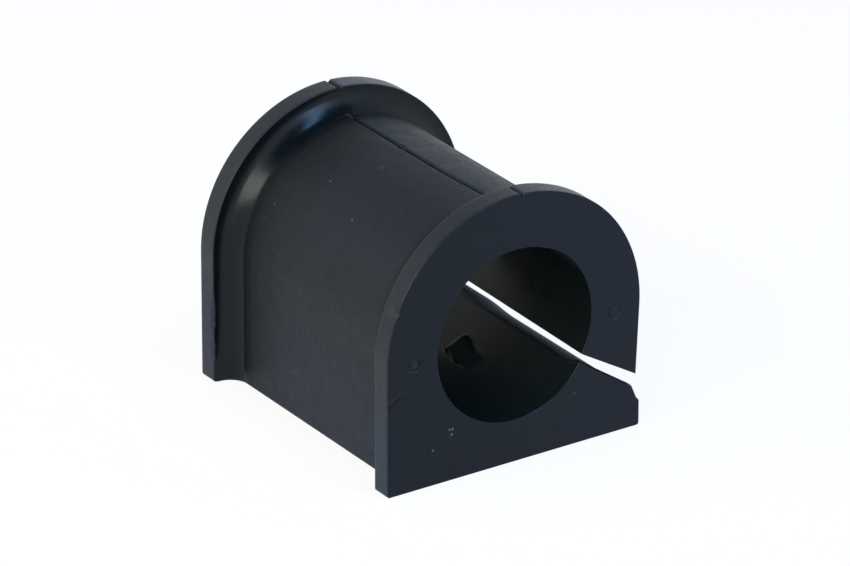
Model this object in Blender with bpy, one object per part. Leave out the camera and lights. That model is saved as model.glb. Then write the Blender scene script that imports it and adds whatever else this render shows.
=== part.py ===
"""Sway bar bushing: one block of moulded rubber, arched over a flat base.

X runs across the block, Y along its bore and Z up from its base. The slit opens towards +X.
The origin is the middle of the base.
"""

from math import atan2, cos, pi, radians, sin, tan

import bmesh
import bpy
from mathutils import Matrix

# Outside, in metres
LENGTH = 0.0564
WIDTH = 0.050
AXIS_HEIGHT = 0.0229
FLANGE_THICKNESS = 0.0039
FLANGE_STEP = 0.00405
FILLET_RADIUS = 0.0037
RIM_RADIUS = 0.0002

# Rubber between the bore and the sides of the flanges
WALL = 0.00975

# Slit through the right wall: where each of its faces leaves the bore, and the slope of each face
SLIT_UPPER_POSITION = radians(-26.1)
SLIT_UPPER_SLOPE = radians(-27.9)
SLIT_LOWER_POSITION = radians(-31.9)
SLIT_LOWER_SLOPE = radians(-34.2)

# Stretch of the lower slit face that lies deeper, between the near flange and just past the middle
DEEPER_START = -0.0266
DEEPER_END = 0.0065
DEEPER_DROP_INSIDE = 0.00095
DEEPER_DROP_OUTSIDE = 0.00075

# Relief on the corner of the lower lip, cut into the flanges only
LIP_SETBACK = 0.0015
LIP_LEDGE = 0.0005
LIP_LEDGE_HEIGHT = 0.0052
LIP_FOOT_HEIGHT = 0.0047

# Set of the free upper jaw: its near end has turned inwards about a pivot in the wall's upper right; the turn
# fades out over the arch and along the jaw
JAW_SET = radians(2.6)
JAW_PIVOT_X = 0.010
JAW_PIVOT_RISE = 0.004
JAW_SET_REACH = 0.040
JAW_FADE_START = radians(42)
JAW_FADE_END = radians(74)

# Round marks beside the bore, on the near end face, set in from the sides of the flange
MARK_DIAMETER = 0.0025
MARK_DEPTH = 0.0003
MARK_INSET = 0.0052
MARK_DROP = 0.0004

# Small tooth on the lower wall of the bore: its crest is near the middle and it slopes to the wall nearer
TOOTH_POSITION = radians(-65.7)
TOOTH_WIDTH = 0.0037
TOOTH_HEIGHT = 0.0009
TOOTH_BACK = -0.0015
TOOTH_CREST = 0.0004
TOOTH_SLOPE = 0.0062

ARCH_SEGMENTS = 72
BORE_SEGMENTS = 96
FILLET_SEGMENTS = 8
RIM_SEGMENTS = 2
MARK_SEGMENTS = 24

ARCH_RADIUS = WIDTH / 2
BODY_RADIUS = ARCH_RADIUS - FLANGE_STEP
BORE_RADIUS = ARCH_RADIUS - WALL
THROUGH = LENGTH * 1.2
SLIT_START_BACK = BORE_RADIUS * 0.15


def clear_scene():
    for item in list(bpy.data.objects):
        bpy.data.objects.remove(item, do_unlink=True)


def new_collection(name):
    collection = bpy.data.collections.new(name)
    bpy.context.scene.collection.children.link(collection)
    return collection


def add_object(name, mesh, collection):
    """Write a bmesh to a new object."""
    bmesh.ops.recalc_face_normals(mesh, faces=mesh.faces)
    data = bpy.data.meshes.new(name)
    mesh.to_mesh(data)
    mesh.free()
    item = bpy.data.objects.new(name, data)
    collection.objects.link(item)
    return item


def rubber():
    """Black rubber with a dull sheen."""
    material = bpy.data.materials.new("black_rubber")
    material.use_nodes = True
    shader = material.node_tree.nodes["Principled BSDF"]
    shader.inputs["Base Color"].default_value = (0.022, 0.025, 0.030, 1)
    shader.inputs["Roughness"].default_value = 0.55
    shader.inputs["Metallic"].default_value = 0
    return material


def half_profile():
    """Distance in from the near end face, and inset from the flange's edge, up to the body's straight part."""
    fillet = min(FILLET_RADIUS, FLANGE_STEP)
    points = []
    for i in range(RIM_SEGMENTS + 1):
        turn = i / RIM_SEGMENTS * pi / 2
        points.append((RIM_RADIUS * (1 - cos(turn)), RIM_RADIUS * (1 - sin(turn))))
    points.append((FLANGE_THICKNESS, 0))
    for i in range(FILLET_SEGMENTS + 1):
        turn = i / FILLET_SEGMENTS * pi / 2
        along = FLANGE_THICKNESS + fillet * (1 - cos(turn))
        points.append((along, FLANGE_STEP - fillet * (1 - sin(turn))))
    return points


def stations():
    """Places along Y with their insets, from the near end face to the far one."""
    near = [(along - LENGTH / 2, inset) for along, inset in half_profile()]
    far = [(-y, inset) for y, inset in reversed(near)]
    return near + far


def arched_section(inset):
    """Outline in X and Z: up the left side, over the arch and down the right side."""
    radius = ARCH_RADIUS - inset
    outline = [(-radius, 0)]
    for i in range(ARCH_SEGMENTS + 1):
        turn = pi - i / ARCH_SEGMENTS * pi
        outline.append((radius * cos(turn), AXIS_HEIGHT + radius * sin(turn)))
    outline.append((radius, 0))
    return outline


def make_block(collection):
    """The solid block: arched sections joined along the length."""
    mesh = bmesh.new()
    rings = []
    for y, inset in stations():
        rings.append([mesh.verts.new((x, y, z)) for x, z in arched_section(inset)])
    for near, far in zip(rings, rings[1:]):
        for i in range(len(near) - 1):
            mesh.faces.new((near[i], near[i + 1], far[i + 1], far[i]))
    mesh.faces.new(rings[0])
    mesh.faces.new(rings[-1])
    left_foot = [ring[0] for ring in rings]
    right_foot = [ring[-1] for ring in rings]
    mesh.faces.new(left_foot + right_foot[::-1])
    return add_object("bushing", mesh, collection)


def as_cutter(item, cutters):
    """Keep a cutter out of the part and show it as wire."""
    for owner in list(item.users_collection):
        owner.objects.unlink(item)
    cutters.objects.link(item)
    item.hide_render = True
    item.display_type = "WIRE"
    return item


def cylinder_cutter(name, radius, depth, location, segments, cutters):
    """A cylinder along Y."""
    bpy.ops.mesh.primitive_cylinder_add(
        vertices=segments, radius=radius, depth=depth, location=location, rotation=(pi / 2, 0, 0)
    )
    item = bpy.context.object
    item.name = name
    return as_cutter(item, cutters)


def prism_cutter(name, outline, reach, cutters):
    """An outline in X and Z, run along Y from the start to the end of its reach."""
    mesh = bmesh.new()
    face = mesh.faces.new([mesh.verts.new((x, reach[0], z)) for x, z in outline])
    swept = bmesh.ops.extrude_face_region(mesh, geom=[face])
    moved = [part for part in swept["geom"] if isinstance(part, bmesh.types.BMVert)]
    bmesh.ops.translate(mesh, verts=moved, vec=(0, reach[1] - reach[0], 0))
    return as_cutter(add_object(name, mesh, cutters), cutters)


def slit_face_height(x, side):
    """Height of a slit face at x: side is 1 for the upper face and -1 for the lower one."""
    position = SLIT_UPPER_POSITION if side > 0 else SLIT_LOWER_POSITION
    slope = SLIT_UPPER_SLOPE if side > 0 else SLIT_LOWER_SLOPE
    mouth_x = BORE_RADIUS * cos(position)
    mouth_z = AXIS_HEIGHT + BORE_RADIUS * sin(position)
    return mouth_z + (x - mouth_x) * tan(slope)


def slit_outline():
    """The slit, with the relief that it cuts from the flanges' lower lip."""
    start = BORE_RADIUS * cos(SLIT_LOWER_POSITION) - SLIT_START_BACK
    edge = ARCH_RADIUS
    beyond = edge + FLANGE_STEP
    lip = edge - LIP_SETBACK
    return [
        (start, slit_face_height(start, 1)),
        (start, slit_face_height(start, -1)),
        (lip, slit_face_height(lip, -1)),
        (edge - LIP_LEDGE, LIP_LEDGE_HEIGHT),
        (edge, LIP_FOOT_HEIGHT),
        (beyond, LIP_FOOT_HEIGHT),
        (beyond, slit_face_height(beyond, 1)),
    ]


def deeper_outline():
    """The deeper stretch of the lower slit face."""
    start = BORE_RADIUS * cos(SLIT_LOWER_POSITION) - SLIT_START_BACK
    beyond = BODY_RADIUS + FLANGE_STEP / 2
    middle = (slit_face_height(start, 1) + slit_face_height(start, -1)) / 2
    return [
        (start, middle),
        (start, slit_face_height(start, -1) - DEEPER_DROP_INSIDE),
        (beyond, slit_face_height(beyond, -1) - DEEPER_DROP_OUTSIDE),
        (beyond, middle + (beyond - start) * tan(SLIT_UPPER_SLOPE)),
    ]


def tooth_solid(cutters):
    """The tooth, drawn along the bore and out from its axis, then turned to its place."""
    crest = BORE_RADIUS - TOOTH_HEIGHT
    root = BORE_RADIUS + TOOTH_HEIGHT
    front = TOOTH_BACK - TOOTH_CREST
    toe = front - TOOTH_SLOPE
    outline = [(TOOTH_BACK, root), (TOOTH_BACK, crest), (front, crest), (toe, BORE_RADIUS), (toe, root)]
    mesh = bmesh.new()
    face = mesh.faces.new([mesh.verts.new((out, y, -TOOTH_WIDTH / 2)) for y, out in outline])
    swept = bmesh.ops.extrude_face_region(mesh, geom=[face])
    moved = [part for part in swept["geom"] if isinstance(part, bmesh.types.BMVert)]
    bmesh.ops.translate(mesh, verts=moved, vec=(0, 0, TOOTH_WIDTH))
    place = Matrix.Translation((0, 0, AXIS_HEIGHT)) @ Matrix.Rotation(-TOOTH_POSITION, 4, "Y")
    mesh.transform(place)
    return as_cutter(add_object("tooth_solid", mesh, cutters), cutters)


def combine(item, other, operation="DIFFERENCE"):
    modifier = item.modifiers.new(other.name, "BOOLEAN")
    modifier.operation = operation
    modifier.solver = "EXACT"
    modifier.object = other


def make_cutters(cutters):
    """The bore, the slit, its deeper stretch and the two end marks."""
    deeper = (DEEPER_START, DEEPER_END)
    made = [
        cylinder_cutter("bore_cutter", BORE_RADIUS, THROUGH, (0, 0, AXIS_HEIGHT), BORE_SEGMENTS, cutters),
        prism_cutter("slit_cutter", slit_outline(), (-THROUGH / 2, THROUGH / 2), cutters),
        prism_cutter("deeper_cutter", deeper_outline(), deeper, cutters),
    ]
    for name, side in (("left_mark_cutter", -1), ("right_mark_cutter", 1)):
        place = (side * (ARCH_RADIUS - MARK_INSET), -LENGTH / 2, AXIS_HEIGHT - MARK_DROP)
        made.append(cylinder_cutter(name, MARK_DIAMETER / 2, 2 * MARK_DEPTH, place, MARK_SEGMENTS, cutters))
    return made


def keep_modified_mesh(item):
    """Replace the modifiers by the mesh that they make."""
    bpy.context.view_layer.update()
    evaluated = item.evaluated_get(bpy.context.evaluated_depsgraph_get())
    data = bpy.data.meshes.new_from_object(evaluated)
    item.modifiers.clear()
    item.data = data


def jaw_share(x, y, z):
    """How much of the jaw's set a point takes: all of it at the slit's near end, none at the crown."""
    above_slit = z > (slit_face_height(x, 1) + slit_face_height(x, -1)) / 2
    turn = atan2(z - AXIS_HEIGHT, x)
    if not above_slit or turn > JAW_FADE_END or turn < -pi / 2:
        return 0
    along = max(0, 1 - (y + LENGTH / 2) / JAW_SET_REACH)
    faded = max(0, (turn - JAW_FADE_START) / (JAW_FADE_END - JAW_FADE_START))
    return along * (1 - faded * faded * (3 - 2 * faded))


def split_across(item, y):
    """Add a ring of edges at y, where the jaw's set begins."""
    mesh = bmesh.new()
    mesh.from_mesh(item.data)
    parts = mesh.verts[:] + mesh.edges[:] + mesh.faces[:]
    bmesh.ops.bisect_plane(mesh, geom=parts, plane_co=(0, y, 0), plane_no=(0, 1, 0))
    mesh.to_mesh(item.data)
    mesh.free()


def spring_jaw(item):
    """Turn the upper jaw inwards about its pivot."""
    pivot_z = AXIS_HEIGHT + JAW_PIVOT_RISE
    for vertex in item.data.vertices:
        x, y, z = vertex.co
        turn = JAW_SET * jaw_share(x, y, z)
        vertex.co = (x + turn * (z - pivot_z), y, z - turn * (x - JAW_PIVOT_X))


def make_bushing():
    parts = new_collection("sway_bar_bushing")
    cutters = new_collection("cutters")
    bushing = make_block(parts)
    for cutter in make_cutters(cutters):
        combine(bushing, cutter)
    combine(bushing, tooth_solid(cutters), "UNION")
    keep_modified_mesh(bushing)
    split_across(bushing, JAW_SET_REACH - LENGTH / 2)
    spring_jaw(bushing)
    bushing.data.materials.clear()
    bushing.data.materials.append(rubber())
    bushing.data.shade_smooth()
    bushing.data.set_sharp_from_angle(angle=radians(30))


clear_scene()
make_bushing()
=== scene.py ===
"""Sway bar bushing: the moulded rubber block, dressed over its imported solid, with floor, lamps and camera.

X runs across the block, Y along its bore and Z up from its base. The slit opens towards +X. Shapes are drawn
with the upper jaw at rest; its set is added to the finished mesh.
"""

from math import atan2, cos, exp, hypot, pi, radians, sin, sqrt, tan

import bmesh
import bpy
from mathutils import Matrix, Quaternion, Vector, noise
from mathutils.geometry import delaunay_2d_cdt


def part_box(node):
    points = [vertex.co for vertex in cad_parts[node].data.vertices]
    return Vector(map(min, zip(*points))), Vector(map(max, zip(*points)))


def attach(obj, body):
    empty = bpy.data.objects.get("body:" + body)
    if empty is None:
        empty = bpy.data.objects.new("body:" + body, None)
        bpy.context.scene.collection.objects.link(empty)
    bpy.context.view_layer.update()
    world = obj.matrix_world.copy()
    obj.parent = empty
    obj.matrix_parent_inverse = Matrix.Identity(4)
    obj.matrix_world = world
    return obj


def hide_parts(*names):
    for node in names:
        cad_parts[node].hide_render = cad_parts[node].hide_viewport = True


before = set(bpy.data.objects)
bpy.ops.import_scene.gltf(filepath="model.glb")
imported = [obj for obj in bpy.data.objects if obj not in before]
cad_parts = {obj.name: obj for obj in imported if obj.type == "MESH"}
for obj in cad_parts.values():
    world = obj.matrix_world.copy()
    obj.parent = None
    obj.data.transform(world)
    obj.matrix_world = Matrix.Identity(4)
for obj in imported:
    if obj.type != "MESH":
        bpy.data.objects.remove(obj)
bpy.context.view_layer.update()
NODE_LOW, NODE_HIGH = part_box("bushing")

MM = 0.001

# The block's outside
WIDTH = NODE_HIGH.x - NODE_LOW.x
LENGTH = NODE_HIGH.y - NODE_LOW.y
AXIS_HEIGHT = 22.9 * MM
FLANGE_THICKNESS = 3.9 * MM
FLANGE_STEP = 4.05 * MM
FILLET_RADIUS = 3.7 * MM
RIM_RADIUS = 0.2 * MM
FOOT_RADIUS = 0.5 * MM
BORE_RADIUS = 15.25 * MM
BORE_EDGE_RADIUS = 0.2 * MM

ARCH_RADIUS = WIDTH / 2
BODY_RADIUS = ARCH_RADIUS - FLANGE_STEP
NEAR_END = -LENGTH / 2
AXIS = Vector((0, AXIS_HEIGHT))

# The slit: where each of its faces leaves the bore, and the slope of each face
SLIT_UPPER_POSITION = radians(-26.1)
SLIT_UPPER_SLOPE = radians(-27.9)
SLIT_LOWER_POSITION = radians(-31.9)
SLIT_LOWER_SLOPE = radians(-34.2)

# Stretch of the lower slit face that lies deeper, more so beside the bore, with a blend at each end
DEEPER_DROP = 0.95 * MM
DEEPER_OUTWARD_LOSS = 0.035
DEEPER_NEAR_BLEND = (-28.0 * MM, -25.0 * MM)
DEEPER_FAR_BLEND = (2.5 * MM, 10.0 * MM)
DEEPER_FAR_SHARE = 0.25

# Rounding of the lower slit face's near edge
SLIT_EDGE_DROP = 0.35 * MM
SLIT_EDGE_REACH = 0.8 * MM

# Relief on the corner of the lower lip
LIP_SETBACK = 1.5 * MM
LIP_LEDGE = 0.5 * MM
LIP_LEDGE_HEIGHT = 5.2 * MM
LIP_FOOT_HEIGHT = 4.7 * MM
LIP_CORNER_RADIUS = 0.8 * MM
LIP_TOP_RUN = 1.2 * LIP_CORNER_RADIUS

# Set of the upper jaw: its near end has turned inwards about a pivot in the wall's upper right
JAW_SET = radians(2.6)
JAW_PIVOT_X = 10 * MM
JAW_PIVOT_RISE = 4 * MM
JAW_SET_REACH = 40 * MM
JAW_FADE_START = radians(42)
JAW_FADE_END = radians(74)

# Tooth on the bore's lower wall. Its sides drift round the bore towards the near end.
TOOTH_LEFT = radians(-72.9)
TOOTH_RIGHT = radians(-58.2)
TOOTH_LEFT_DRIFT = radians(-2.5)
TOOTH_LEFT_DRIFT_RANGE = (2 * MM, 5 * MM)
TOOTH_RIGHT_DRIFT = radians(-5.5)
TOOTH_RIGHT_DRIFT_RANGE = (2 * MM, 7 * MM)
TOOTH_HEIGHT = 0.9 * MM
TOOTH_BACK = -1.5 * MM
TOOTH_CREST = 0.4 * MM
TOOTH_FRONT = TOOTH_BACK - TOOTH_CREST
TOOTH_SLOPE = 7 * MM
TOOTH_WALL = 0.3 * MM
TOOTH_RIGHT_WALL = 1.1 * MM

# Fine groove in the bore, along the lower slit face's corner. How ragged it is: share, pace and lane of the noise.
GROOVE_PLACE = 0.28 * MM
GROOVE_WIDTH = 0.16 * MM
GROOVE_DEPTH = 0.10 * MM
GROOVE_RAGGED = (0.5, 1400, (2, 0))

# Round marks on the near face
MARK_RADIUS = 1.05 * MM
MARK_DEPTH = 0.28 * MM
MARK_RING_WIDTH = 0.24 * MARK_RADIUS
MARKS = ((-19.75 * MM, 22.65 * MM), (19.85 * MM, 22.25 * MM))

# Scratch across the near face's left edge: its ends, its fading in and out as shares of its length, and its slopes
SCRATCH = (Vector((-24.8, 16.0)) * MM, Vector((-21.9, 17.9)) * MM)
SCRATCH_START = (-0.15, 0.1)
SCRATCH_END = (0.75, 1.1)
SCRATCH_STEEP = 0.12 * MM
SCRATCH_GENTLE = 0.42 * MM
SCRATCH_DEPTH = 0.2 * MM

# Nick in the near face's left edge
NICK_ANGLE = radians(157.2)
NICK_SIZE = 0.55 * MM
NICK_DEPTH = 0.35 * MM

# Dents along the far flange's inner edge, on the left side: height, half length and depth
RIM_DENTS = (
    (13.1 * MM, 1.8 * MM, 0.30 * MM),
    (10.6 * MM, 0.4 * MM, 0.30 * MM),
    (6.4 * MM, 0.5 * MM, 0.30 * MM),
    (4.3 * MM, 0.4 * MM, 0.28 * MM),
)
RIM_DENT_REACH = 0.9 * MM

# Parting seam, just right of the crown and drifting further right towards the near end. How ragged its depth is and
# how its middle wanders: share or size, pace and lane of the noise.
SEAM_X = 0.40 * MM
SEAM_DRIFT = 0.80 * MM
SEAM_DRIFT_RANGE = (4 * MM, 24 * MM)
SEAM_WIDTH = 0.32 * MM
SEAM_DEPTH = 0.6 * MM
SEAM_REACH = 1.2 * MM
SEAM_RAGGED = ((0.35, 900, (0, 3)), (0.2, 2600, (0, 7)))
SEAM_WANDER = (0.05 * MM, 700, (5, 0))
SEAM_NOTCH_Y = 5.9 * MM
SEAM_NOTCH_LENGTH = 0.6 * MM
SEAM_NOTCH_GROWTH = 0.2 * MM

# The body right of the seam lies a little lower, which fades out down its right side
SEAM_MISMATCH = 0.06 * MM
MISMATCH_RISE = 0.15 * MM
MISMATCH_FADE = (14 * MM, 20 * MM)

# Shares of the step from flange to body below which a point is on the flange, and above which on the body
ON_FLANGE = 0.01
MISMATCH_FROM = 0.9
ON_BODY = 0.97

# How closely the mesh is divided
GRID_STEP = 1.0 * MM
FACE_STEP = 1.1 * MM
SUPPORT = 0.42 * MM
CORNER_STEP = radians(12)
CORNER_STEPS_LEAST = 3
ARCH_STATIONS = 150
SEAM_STEP = 0.09 * MM
SEAM_CLEARANCE = 0.15 * MM
RIM_STEPS = 4
FILLET_STEPS = 12
BORE_EDGE_STEPS = 3
RIM_STEP = 0.5 * MM
BODY_STEP = 0.45 * MM
BORE_NEAR_STEP = 0.45 * MM
BORE_MIDDLE_STEP = 0.9 * MM
BORE_FAR_STEP = 0.8 * MM
TOOTH_SLOPE_STEP = 0.35 * MM
TOOTH_CREST_STEP = 0.08 * MM
BORE_TURN_STEP = radians(2)
TOOTH_TURN_STEP = radians(0.4)
LOWER_WALL_TURN_STEP = radians(1)
GROOVE_REACH_MM = 0.7
GROOVE_STEP_MM = 0.07
MARK_RINGS = 14
MARK_RING_POINTS = 32
MARK_RING_STEP = 0.13
SCRATCH_STEPS = 16
SCRATCH_ROWS = (-2, -1, -0.5, 0, 1, 2, 3.5, 5, 7)
DETAIL_CLEARANCE = 0.4 * MM
CLEARANCE_SHARE = 0.45
SMOOTH_BELOW = radians(40)

# Rows of points behind the slit's near edge, in tenths of a millimetre, and places in a row, in half millimetres
SLIT_EDGE_ROWS = (1, 2, 3, 5)
SLIT_EDGE_PLACES = range(26, 49)

# How far past the tooth the bore's stations start to follow the lower slit face
FOLLOW_AFTER = radians(2)

# Allowances for rounding, and the unit in which faces are filled
NEGLIGIBLE = 1e-9
ABOVE_BASE = 1e-6
SLACK = 0.01 * MM
MM_PER_METRE = 1000

# Camera, fitted to the photograph's 850 x 566 frame
SENSOR_WIDTH = 36
LENS = 310.1
CLIP_START = 0.05
CAMERA_PLACE = Vector((-613.87, -913.42, 532.16)) * MM
CAMERA_RIGHT = Vector((0.83003, -0.55772, 0.00210))
CAMERA_UP = Vector((0.23321, 0.35049, 0.90707))
CAMERA_BACK = Vector((-0.50663, -0.75240, 0.42098))


def smooth(value, low, high):
    share = min(1, max(0, (value - low) / (high - low)))
    return share * share * (3 - 2 * share)


def hump(value, width):
    return exp(-((value / width) ** 2))


def wander(y, size, pace, lane):
    """Smooth noise along Y, of a size and with a pace per metre. Each lane is another run of it."""
    return size * noise.noise(Vector((y * pace, *lane)))


def stepped(start, stretches):
    """Values from start on, through stretches given by where each one stops and its largest gap."""
    values = [start]
    for stop, gap in stretches:
        pieces = max(1, round(abs(stop - start) / gap))
        values += [start + (stop - start) * k / pieces for k in range(1, pieces + 1)]
        start = stop
    return values


def quarter_turn(steps):
    return [k / steps * pi / 2 for k in range(steps + 1)]


# Outlines

def deeper(x, y):
    """How far the lower slit face has dropped."""
    along = smooth(y, *DEEPER_NEAR_BLEND) * (1 - (1 - DEEPER_FAR_SHARE) * smooth(y, *DEEPER_FAR_BLEND))
    outward = 1 - DEEPER_OUTWARD_LOSS * max(0, x - BORE_RADIUS) / MM
    edge = max(0, 1 - (y - NEAR_END) / SLIT_EDGE_REACH)
    return DEEPER_DROP * along * outward + SLIT_EDGE_DROP * edge * edge


def slit_height(x, side):
    """Height of a slit face at x: side is 1 for the upper face and -1 for the lower one."""
    position = SLIT_UPPER_POSITION if side > 0 else SLIT_LOWER_POSITION
    slope = SLIT_UPPER_SLOPE if side > 0 else SLIT_LOWER_SLOPE
    mouth = AXIS + Vector((cos(position), sin(position))) * BORE_RADIUS
    return mouth.y + (x - mouth.x) * tan(slope)


def slit_point(radius, side, drop=0):
    """Where a slit face, lowered by drop, meets a circle about the bore's axis."""
    slope = SLIT_UPPER_SLOPE if side > 0 else SLIT_LOWER_SLOPE
    start = Vector((0, slit_height(0, side) - drop)) - AXIS
    along = Vector((cos(slope), sin(slope)))
    middle = start.dot(along)
    reach = -middle + sqrt(middle * middle - start.length_squared + radius * radius)
    return AXIS + start + along * reach


def below_slit(x, z):
    return z < (slit_height(x, 1) + slit_height(x, -1)) / 2


def rounded(corners, radii, step):
    """A path through corners, each one rounded by its radius, with points no further apart than step."""
    path = []
    for i, corner in enumerate(corners):
        if not radii[i]:
            path.append(corner)
            continue
        back = (corners[i - 1] - corner).normalized()
        onward = (corners[i + 1] - corner).normalized()
        turn = pi - back.angle(onward)
        reach = radii[i] * tan(turn / 2)
        start, end = corner + back * reach, corner + onward * reach
        centre = corner + (back + onward).normalized() * radii[i] / cos(turn / 2)
        pieces = max(CORNER_STEPS_LEAST, round(turn / CORNER_STEP))
        for k in range(pieces + 1):
            blend = start.lerp(end, k / pieces) - centre
            path.append(centre + blend.normalized() * radii[i])
    out = [path[0]]
    for a, b in zip(path, path[1:]):
        pieces = max(1, round((b - a).length / step))
        out += [a.lerp(b, k / pieces) for k in range(1, pieces + 1)]
    return out


def arch_angles():
    """Angles over the arch from its left foot to its right one, closer together beside the seam."""
    angles = [pi - i / ARCH_STATIONS * pi for i in range(1, ARCH_STATIONS)]
    middle = pi / 2 - (SEAM_X + SEAM_DRIFT / 2) / ARCH_RADIUS
    reach = SEAM_DRIFT / 2 + 3 * SEAM_WIDTH
    close = stepped(-reach, [(reach, SEAM_STEP)])
    angles = [a for a in angles if abs(a - middle) * ARCH_RADIUS > reach + SEAM_CLEARANCE]
    return sorted(angles + [middle + c / ARCH_RADIUS for c in close], reverse=True)


def outer_outline():
    """Stations round the block from the lower lip to the upper jaw: flange point, body point and normal."""
    lip_x = ARCH_RADIUS - LIP_SETBACK
    lip_start = lip_x - LIP_TOP_RUN
    corners = [
        Vector((lip_start, slit_height(lip_start, -1))),
        Vector((lip_x, slit_height(lip_x, -1))),
        Vector((ARCH_RADIUS - LIP_LEDGE, LIP_LEDGE_HEIGHT)),
        Vector((ARCH_RADIUS, LIP_FOOT_HEIGHT)),
        Vector((ARCH_RADIUS, 0)),
        Vector((-ARCH_RADIUS, 0)),
        Vector((-ARCH_RADIUS, AXIS_HEIGHT)),
    ]
    radii = [0, LIP_CORNER_RADIUS, LIP_LEDGE, LIP_LEDGE, FOOT_RADIUS, FOOT_RADIUS, 0]
    flange = rounded(corners, radii, GRID_STEP)
    lip_top = flange[0].y
    body_top = slit_height(BODY_RADIUS, -1)
    body = []
    for p in flange:
        if abs(p.x) >= ARCH_RADIUS - FOOT_RADIUS - NEGLIGIBLE:
            x = p.x - FLANGE_STEP if p.x > 0 else p.x + FLANGE_STEP
        elif p.y > NEGLIGIBLE:
            x = BODY_RADIUS
        else:
            x = p.x * (BODY_RADIUS - FOOT_RADIUS) / (ARCH_RADIUS - FOOT_RADIUS)
        z = p.y * body_top / lip_top if p.x > 0 else p.y
        body.append(Vector((x, z)))
    for angle in arch_angles():
        spoke = Vector((cos(angle), sin(angle)))
        flange.append(AXIS + spoke * ARCH_RADIUS)
        body.append(AXIS + spoke * BODY_RADIUS)
    flange_drop = AXIS_HEIGHT - slit_height(ARCH_RADIUS, 1)
    body_drop = AXIS_HEIGHT - slit_height(BODY_RADIUS, 1)
    pieces = round(flange_drop / GRID_STEP)
    for k in range(pieces + 1):
        flange.append(Vector((ARCH_RADIUS, AXIS_HEIGHT - flange_drop * k / pieces)))
        body.append(Vector((BODY_RADIUS, AXIS_HEIGHT - body_drop * k / pieces)))
    normals = []
    for i in range(len(flange)):
        ahead = flange[min(i + 1, len(flange) - 1)] - flange[max(i - 1, 0)]
        normals.append(Vector((-ahead.y, ahead.x)).normalized())
    normals[0] = Vector((cos(SLIT_LOWER_SLOPE), sin(SLIT_LOWER_SLOPE)))
    normals[-1] = Vector((1, tan(SLIT_UPPER_SLOPE)))
    return flange, body, normals


def outer_profile():
    """Across the block's length: Y, share of the step from flange to body, and inset along the normal."""
    near = [(NEAR_END, 0, SUPPORT)]
    for turn in quarter_turn(RIM_STEPS):
        near.append((NEAR_END + RIM_RADIUS * (1 - cos(turn)), 0, RIM_RADIUS * (1 - sin(turn))))
    inner = NEAR_END + FLANGE_THICKNESS
    rim = stepped(near[-1][0], [(inner - RIM_RADIUS, RIM_STEP)])
    near += [(y, 0, 0) for y in rim[1:-1]]
    for turn in quarter_turn(RIM_STEPS):
        near.append((inner - RIM_RADIUS * (1 - sin(turn)), 0, RIM_RADIUS * (1 - cos(turn))))
    for turn in quarter_turn(FILLET_STEPS):
        along = FILLET_RADIUS * (1 - cos(turn))
        near.append((inner + along, (FLANGE_STEP - FILLET_RADIUS * (1 - sin(turn))) / FLANGE_STEP, 0))
    body = stepped(near[-1][0], [(0, BODY_STEP)])
    near += [(y, 1, 0) for y in body[1:-1]]
    return near + [(0, 1, 0)] + [(-y, share, inset) for y, share, inset in reversed(near)]


def bore_profile():
    """Across the bore's length: Y and how far outside the bore's radius."""
    end = [(NEAR_END, SUPPORT)]
    for turn in quarter_turn(BORE_EDGE_STEPS):
        end.append((NEAR_END + BORE_EDGE_RADIUS * (1 - cos(turn)), BORE_EDGE_RADIUS * (1 - sin(turn))))
    start = end[-1][0]
    values = stepped(start, [
        (DEEPER_NEAR_BLEND[1], BORE_NEAR_STEP),
        (TOOTH_FRONT - TOOTH_SLOPE, BORE_MIDDLE_STEP),
        (TOOTH_FRONT, TOOTH_SLOPE_STEP),
        (TOOTH_BACK + TOOTH_WALL, TOOTH_CREST_STEP),
        (-start, BORE_FAR_STEP),
    ])
    return end + [(y, 0) for y in values[1:-1]] + [(-y, grown) for y, grown in reversed(end)]


def bore_angles():
    """Angles of the bore's stations, from the upper slit face round over the top to the lower one."""
    mm = MM / BORE_RADIUS
    wall = TOOTH_WALL / BORE_RADIUS
    last = SLIT_LOWER_POSITION + 2 * pi
    return stepped(SLIT_UPPER_POSITION, [
        (TOOTH_LEFT + TOOTH_LEFT_DRIFT + 2 * pi - wall, BORE_TURN_STEP),
        (TOOTH_RIGHT + 2 * pi + wall, TOOTH_TURN_STEP),
        (last - GROOVE_REACH_MM * mm, LOWER_WALL_TURN_STEP),
        (last, GROOVE_STEP_MM * mm),
    ])


# Relief

def jaw_share(x, y, z):
    """How much of the jaw's set a point takes: all of it at the slit's near end, none at the crown."""
    turn = atan2(z - AXIS_HEIGHT, x)
    if below_slit(x, z) or turn > JAW_FADE_END or turn < -pi / 2:
        return 0
    along = max(0, 1 - (y - NEAR_END) / JAW_SET_REACH)
    faded = max(0, (turn - JAW_FADE_START) / (JAW_FADE_END - JAW_FADE_START))
    return along * (1 - faded * faded * (3 - 2 * faded))


def sprung(point):
    """Where a point lies once the upper jaw has taken its set."""
    x, y, z = point
    turn = JAW_SET * jaw_share(x, y, z)
    return Vector((x + turn * (z - AXIS_HEIGHT - JAW_PIVOT_RISE), y, z - turn * (x - JAW_PIVOT_X)))


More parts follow.
